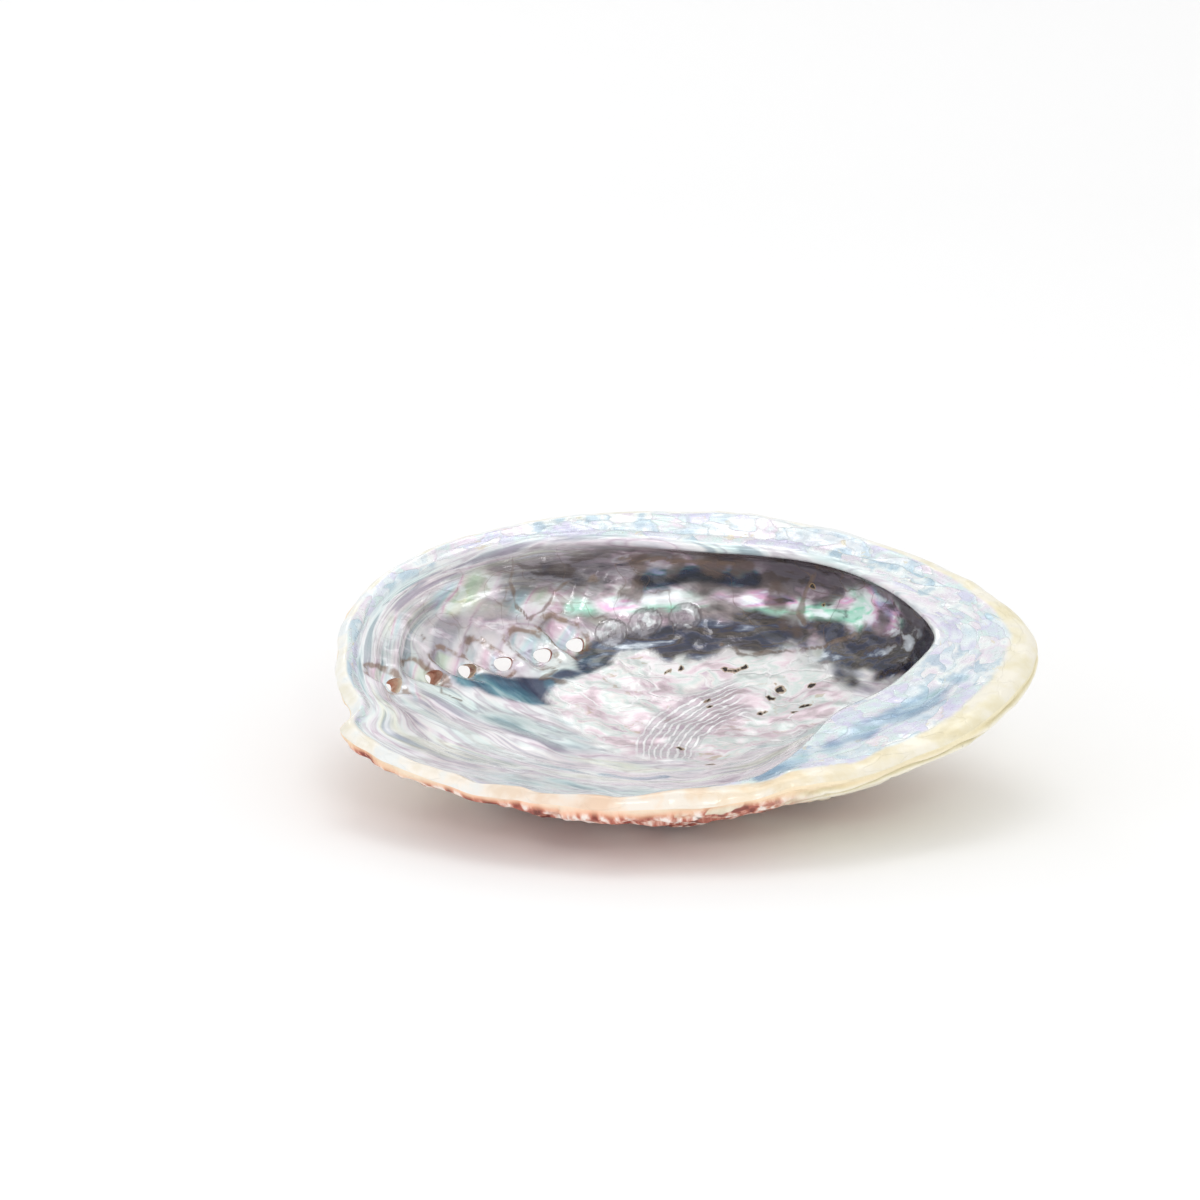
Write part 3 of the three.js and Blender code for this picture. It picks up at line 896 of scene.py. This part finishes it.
# Painted highlights: white streaks of glare over the glare patches and glints.
painted_shine = nacre.step(0.5, 0.6, streaky) * (nacre.mask("blaze") + 0.5 * nacre.mask("glow"))
nacre.cover(nacre.maths("MINIMUM", painted_shine, 0.95), "#F6FCFF")
shade = nacre.mask("pocket") * (1 - nacre.step(0.41, 0.48, streaky))
shade_hue = nacre.blend(nacre.step(0.45, 0.55, soft), "#3A2A22", "#232030")
nacre.cover(0.85 * shade, shade_hue)
# Painted dark reflection: the navy band on the far wall.
navy = nacre.ramp(streaky, (0.38, "#0B0F1E"), (0.50, "#1A2540"), (0.57, "#2E5560"),
                  (0.64, "#6C7490"))
nacre.cover(nacre.mask("navy"), navy)
nacre.cover(0.75 * nacre.mask("smudge"), "#5D4A40")

# The shelf: thin torn flakes of pale blue, lilac and white
flake_where = nacre.moved(nacre.points("grain", (0.45, 0.45, 1)), 0.2, 7.0)
flake = nacre.node("SeparateColor", {}, {"Color": nacre.cells(flake_where, 0.24, "F1", 1)}, 0)
flake_hue = nacre.ramp(0.75 * flake + 0.9 * nacre.noise(where, 0.2, 4.0) - 0.3,
                       (0.10, "#B3CBD9"), (0.28, "#E2EAED"), (0.42, "#CBC6E2"),
                       (0.55, "#CDE3DF"), (0.68, "#DFD2DF"), (0.80, "#E9EDEB"),
                       (0.92, "#A8C0D0"))
flake_edge = 1 - nacre.step(0.0, 0.05, nacre.cells(flake_where, 0.24, "DISTANCE_TO_EDGE"))
flake_hue = nacre.blend(0.16 * flake_edge, flake_hue, "#8F9A98")
on_top = nacre.mask("shelf")
nacre.cover(0.8 * on_top, flake_hue)
gold_flecks = on_top * nacre.step(0.64, 0.7, nacre.noise(flake_where, 0.5, 3.0))
nacre.cover(0.5 * gold_flecks, "#D9CBA0")
streak = nacre.ramp(reflection_and_streak_hue, (0.36, "#4E6F90"), (0.48, "#7A9CB6"), (0.56, "#A9C3D2"),
                    (0.64, "#86B0B4"))
nacre.cover(0.85 * nacre.mask("streak"), streak)

# The muscle scar: chalky flakes with white arcs, a worn rim and small dark pits
scar_here = nacre.mask("scar")
chalk_where = nacre.moved(nacre.points("place", (0.45, 1, 1)), 0.2, 6.0)
chalk_hue = nacre.noise(chalk_where, 0.2, 6.0)
chalk = nacre.ramp(chalk_hue, (0.34, "#D3C3C8"), (0.42, "#F2DFE7"), (0.49, "#FDF9FA"),
                   (0.55, "#E3EEEA"), (0.61, "#FAF6F4"), (0.68, "#D3BECD"))
chip = nacre.step(0.0, 0.07, nacre.cells(chalk_where, 0.2, "DISTANCE_TO_EDGE"))
chip = nacre.maths("MAXIMUM", chip, nacre.step(0.4, 0.6, soft))
chalk = nacre.blend(0.8 * (1 - chip), chalk, "#FFFFFF")
crumbs = nacre.step(0.6, 0.66, nacre.noise(chalk_where, 0.5, 4.0))
crumbs = crumbs * nacre.step(0.45, 0.6, soft)
chalk = nacre.blend(0.6 * crumbs, chalk, "#C2AE8E")
arc_wave = nacre.mask("arc_away") + 3.0 * nacre.noise(where, 0.14, 4.0)
arcs = nacre.mask("arcs") * nacre.step(0.0, 0.9, nacre.maths("SINE", 4.2 * arc_wave))
chalk = nacre.blend(0.55 * nacre.mask("arcs"), chalk, "#BDAFBA")
chalk = nacre.blend(0.95 * arcs, chalk, "#FFFFFF")
nacre.cover(scar_here, chalk)
rim_line = nacre.mask("scar_rim") * nacre.step(0.42, 0.55, nacre.noise(where, 0.25))
nacre.cover(0.6 * rim_line, "#FBFCFA")

# Brown growth veins, and brown outlines round the hollows behind the pores
grown = nacre.noise(nacre.moved(where, 0.15, 5.0), 0.06, 2.0)
hair_veins = nacre.line(grown, 0.5, 0.005) * nacre.mask("taupe") * (1 - scar_here)
veins = nacre.maths("MAXIMUM", nacre.step(0.3, 0.8, nacre.mask("vein")), 0.5 * hair_veins)
nacre.cover(0.7 * veins, "#6E5746")
hollow = nacre.mask("hollows")
# Painted rainbow highlights in the hollows behind the pores.
nacre.cover(0.5 * nacre.step(0.45, 0.8, hollow), rainbow_glints)
hollow_rim = nacre.line(hollow + 1.1 * (soft - 0.5), 0.35, 0.28)
hollow_rim = hollow_rim * nacre.step(0.02, 0.15, hollow)
hollow_rim = hollow_rim * nacre.step(0.4, 0.56, nacre.noise(where, 0.3))
nacre.cover(0.7 * hollow_rim, "#866445")
blister = nacre.mask("blisters")
nacre.cover(0.55 * blister, "#CFCBD0")
blister_rim = nacre.line(blister + 0.8 * (fine - 0.5), 0.35, 0.4)
blister_rim = blister_rim * nacre.step(0.02, 0.2, blister)
nacre.cover(0.5 * blister_rim, "#5A5254")
# Painted highlights: bright spots on the blisters.
glint_spots = nacre.step(0.5, 0.6, nacre.noise(where, 0.4, 1.0))
blister_highlight = nacre.step(0.4, 1.0, blister) * glint_spots
nacre.cover(0.9 * blister_highlight, "#F6FAFB")
# Painted shadow under the shelf's rolled edge.
nacre.cover(0.7 * nacre.mask("under_edge"), "#5A4A48")

# The lip: cream at the coiled end and near side, nearly white elsewhere
band = nacre.mask("lip_band") + 0.5 * (nacre.noise(where, 0.13) - 0.5)
edge_hue = nacre.noise(where, 0.14, 4.0)
cream = nacre.ramp(edge_hue, (0.35, "#E0D6B4"), (0.48, "#E7E0C6"), (0.60, "#ECE7D8"))
peach = nacre.ramp(edge_hue, (0.38, "#E2B392"), (0.50, "#E9CBB0"), (0.60, "#EBDCCC"))
white = nacre.ramp(edge_hue, (0.38, "#E8E5D6"), (0.50, "#F1F0EA"), (0.60, "#E4EAEC"))
cream = nacre.blend(nacre.maths("MINIMUM", nacre.mask("peach"), 1.0), cream, peach)
cream = nacre.blend(nacre.mask("creamy"), white, cream)
on_band = nacre.step(0.5, 0.8, band)
nacre.cover(on_band, cream)
crumbly = nacre.mask("pits") * (0.1 + 1.6 * nacre.noise(where, 0.9, 4.0))
nacre.cover(0.7 * nacre.step(0.3, 0.5, crumbly), "#A88A5C")
pits = nacre.step(0.62, 0.8, crumbly)
nacre.cover(pits, "#2C211C")

polish = 0.12 + 0.3 * scar_here + 0.12 * on_top + 0.2 * on_band
threads = nacre.noise(nacre.points("silk", (0.12, 0.12, 1.6)), 0.9, 4.0)
ripples = nacre.noise(nacre.points("silk", (0.16, 0.16, 0.8)), 0.3, 1.0)
height = (0.07 * threads + 0.05 * fine + 0.6 * ripples * (1 - scar_here) * (1 - on_top)
          + 0.12 * arcs + 0.3 * scar_here * chalk_hue + 0.10 * scar_here * chip
          - 0.05 * on_top * flake_edge + 0.08 * on_top * flake - 0.07 * veins - 0.5 * pits)
nacre.spread(polish + 0.08 * fine, height)
for name, value in (("Metallic", 0.25), ("Coat Weight", 0.5), ("Coat Roughness", 0.06)):
    nacre.surface.inputs[name].default_value = value

# ----------------------------------------
# Finish of the back: cream and salmon limy crust with brick-red scales along the growing
# lip and over the pores, ivory layers at the coiled end, and a worn blue-grey coil whose
# tip is rubbed through to purple mother-of-pearl. Worms have bored small dark pits in it.
give_masks(age=age, coiled=coiled, ivory=ivory, stack=stack, knobs=knobs, seam=seam_close,
           from_lip=from_lip)
give_masks(scaly=np.clip(scaly, 0, 1) * lamella)
give_masks(red_side=np.clip(hill(direction, -118, 52) + 0.9 * hill(direction, 125, 45), 0, 1))
give_masks(worn=np.exp(-(spread / 27) ** 2))
give_masks(tip=np.exp(-((spread + 2.5 * cloud(place, 5, 2, 2.7)) / 8) ** 2))

crust = Finish("crust")
where = crust.points("place")
coiled_where = crust.moved(crust.points("coiled"), 0.07, 7.0)
growth = crust.moved(crust.points("grain", (0.6, 0.6, 0.3)), 0.3, 2.2)
speckle = crust.noise(where, 0.9, 5.0)
lumps = crust.noise(where, 0.16, 4.0)
streaky = crust.noise(growth, 0.55, 6.0)
young = crust.step(0.35, 0.75, crust.mask("age"))

crust.base = crust.ramp(crust.noise(coiled_where, 0.07, 5.0), (0.34, "#D8CBB0"),
                        (0.46, "#EFE6D3"), (0.54, "#E8D9C3"), (0.64, "#F4EEE2"))
salmon_hue = (1 - 0.5 * young) * speckle + 0.5 * young * streaky
salmon = crust.ramp(salmon_hue, (0.36, "#A9553F"), (0.45, "#CF8266"), (0.53, "#E2A98E"),
                    (0.62, "#F0D2C0"))
patches = crust.noise(coiled_where, 0.055, 6.0) + 0.11 * crust.mask("red_side")
crust.cover(0.9 * crust.step(0.5, 0.64, patches), salmon)
maroon = crust.ramp(streaky, (0.36, "#6A2723"), (0.43, "#92433A"), (0.49, "#BC6C5C"),
                    (0.54, "#E2B3A4"), (0.60, "#FBF1EA"))
scales = crust.mask("red_side") * (0.35 + 0.9 * crust.mask("scaly"))
scales = scales * (0.55 + lumps) * crust.step(0.3, 0.6, crust.mask("age"))
scales = crust.step(0.3, 0.6, scales)
crust.cover(0.92 * scales, maroon)
over_pores = crust.step(0.35, 0.8, crust.mask("knobs") + 0.5 * (lumps - 0.5))
crust.cover(0.85 * over_pores, maroon)

fine_layers = crust.noise(crust.points("place", (0.3, 0.3, 1)), 0.8, 4.0)
layers = crust.mask("stack") + 0.7 * (fine_layers - 0.5)
ivory_hue = crust.ramp(layers, (0.0, "#C9BE96"), (0.35, "#DED5B4"), (0.7, "#EFE9D2"),
                       (1.0, "#F6F1E2"))
on_ivory = crust.step(0.3, 0.7, crust.mask("ivory") + 0.4 * (lumps - 0.5))
crust.cover(on_ivory, ivory_hue)
worn_hue = crust.ramp(0.5 * speckle + 0.5 * crust.noise(where, 0.35, 6.0), (0.36, "#5E6470"),
                      (0.44, "#8E99A4"), (0.50, "#C6CBCB"), (0.56, "#E6E3DA"),
                      (0.63, "#A79FAF"))
worn = crust.step(0.38, 0.72, crust.mask("worn") + 0.6 * (crust.noise(where, 0.12, 5.0) - 0.5))
crust.cover(0.9 * worn, worn_hue)
tip_hue = crust.ramp(crust.noise(where, 0.4, 3.0), (0.34, "#5A3F5C"), (0.44, "#A06E9E"),
                     (0.50, "#E3C6DE"), (0.56, "#9CC7B4"), (0.64, "#6D5E86"))
crust.cover(crust.step(0.4, 0.7, crust.mask("tip")), tip_hue)
seam_line = crust.mask("seam") * crust.step(0.4, 0.6, lumps + 0.15)
crust.cover(0.6 * seam_line, "#7E5B49")

# The lip's own edge: cream all round, peach below it along the growing side
edge = crust.noise(crust.points("grain", (1, 1, 0.4)), 0.06, 4.0)
edge = crust.mask("from_lip") - 1.2 - 9.0 * (edge - 0.5) * crust.mask("red_side")
edge_hue = crust.blend(crust.mask("red_side"), "#EBE3C4", "#F0D9C2")
peach = crust.blend(crust.mask("red_side"), "#EFE4BC", "#F3B795")
crust.cover(0.85 * (1 - crust.step(0.8, 2.4, edge)), peach)
crust.cover(1 - crust.step(0.0, 1.6, edge), edge_hue)

holes = crust.cells(crust.moved(where, 0.5, 2.0), 0.34)
holes = (1 - crust.step(0.12, 0.2, holes)) * crust.step(0.52, 0.6, crust.noise(where, 0.09, 2.0))
holes = holes * crust.step(3.0, 6.0, crust.mask("from_lip"))
crust.cover(0.85 * holes, "#3F3029")
cords = crust.noise(crust.points("coiled", (1, 1, 3.0)), 0.5, 3.0)
height = (0.5 * streaky * young + 0.3 * speckle + 0.25 * cords + 0.3 * crust.mask("stack")
          * crust.mask("ivory") - 0.8 * holes + 0.25 * worn * speckle)
crust.spread(0.72 - 0.3 * crust.mask("tip") - 0.12 * worn + 0.1 * speckle, height)

# ----------------------------------------
# Floor, light and camera: a pale paper sweep in even light, with a soft box overhead, small
# windows of light behind and in front that make the mother-of-pearl gleam, and soft boxes
# low in front and to the left.
SHELL_MIDDLE = Vector((0, 0, 0.022))
CAMERA_RISE = math.radians(17.5)
CAMERA_AWAY = 1.15
VIEW_WIDTH = 0.2585
AIM_LEFT = 0.071
AIM_UP = 0.075

profile = [(-1.5, 0.0), (0.55, 0.0), (0.75, 0.03), (0.9, 0.12), (0.98, 0.3), (1.0, 2.2)]
rows = [(x, y, z) for y, z in profile for x in (-2.5, 2.5)]
quads = [(2 * i, 2 * i + 1, 2 * i + 3, 2 * i + 2) for i in range(len(profile) - 1)]
sheet = bpy.data.meshes.new("paper_sweep")
sheet.from_pydata(rows, [], quads)
sheet.shade_smooth()
floor = placed("paper_sweep", sheet)
paper = bpy.data.materials.new("pale_paper")
paper.use_nodes = True
surface = paper.node_tree.nodes["Principled BSDF"]
surface.inputs["Base Color"].default_value = (0.93, 0.93, 0.93, 1)
surface.inputs["Roughness"].default_value = 0.9
sheet.materials.append(paper)


def soft_light(name, place, width, power):
    lamp = bpy.data.lights.new(name, "AREA")
    lamp.shape = "RECTANGLE"
    lamp.size, lamp.size_y = width
    lamp.energy = power
    box = placed(name, lamp)
    box.location = place
    box.rotation_euler = (-Vector(place)).to_track_quat("-Z", "Y").to_euler()


soft_light("overhead_softbox", (0.0, 0.1, 0.95), (0.5, 0.4), 1.1)
soft_light("back_window", (-0.35, 0.75, 0.6), (0.25, 0.15), 0.4)
soft_light("front_window", (0.15, -0.85, 0.62), (0.16, 0.12), 0.5)
soft_light("low_front_softbox", (-0.1, -1.0, 0.2), (1.4, 0.3), 1.5)
soft_light("left_softbox", (-0.85, -0.35, 0.55), (0.3, 0.3), 0.3)
world = bpy.data.worlds.new("studio")
world.use_nodes = True
sky = world.node_tree.nodes["Background"].inputs
sky["Color"].default_value = (1, 1, 1, 1)
sky["Strength"].default_value = 0.92
bpy.context.scene.world = world

lens = bpy.data.cameras.new("camera")
lens.sensor_width = 36
lens.lens = 36 * CAMERA_AWAY / VIEW_WIDTH
lens.clip_end = 20
camera = placed("camera", lens)
sight = Vector((0, math.cos(CAMERA_RISE), -math.sin(CAMERA_RISE)))
up = Vector((0, math.sin(CAMERA_RISE), math.cos(CAMERA_RISE)))
aim = SHELL_MIDDLE + VIEW_WIDTH * (-AIM_LEFT * Vector((1, 0, 0)) + AIM_UP * up)
camera.location = aim - CAMERA_AWAY * sight
camera.rotation_euler = sight.to_track_quat("-Z", "Y").to_euler()
bpy.context.scene.camera = camera
bpy.context.scene.view_settings.view_transform = "Standard"

bpy.context.view_layer.update()
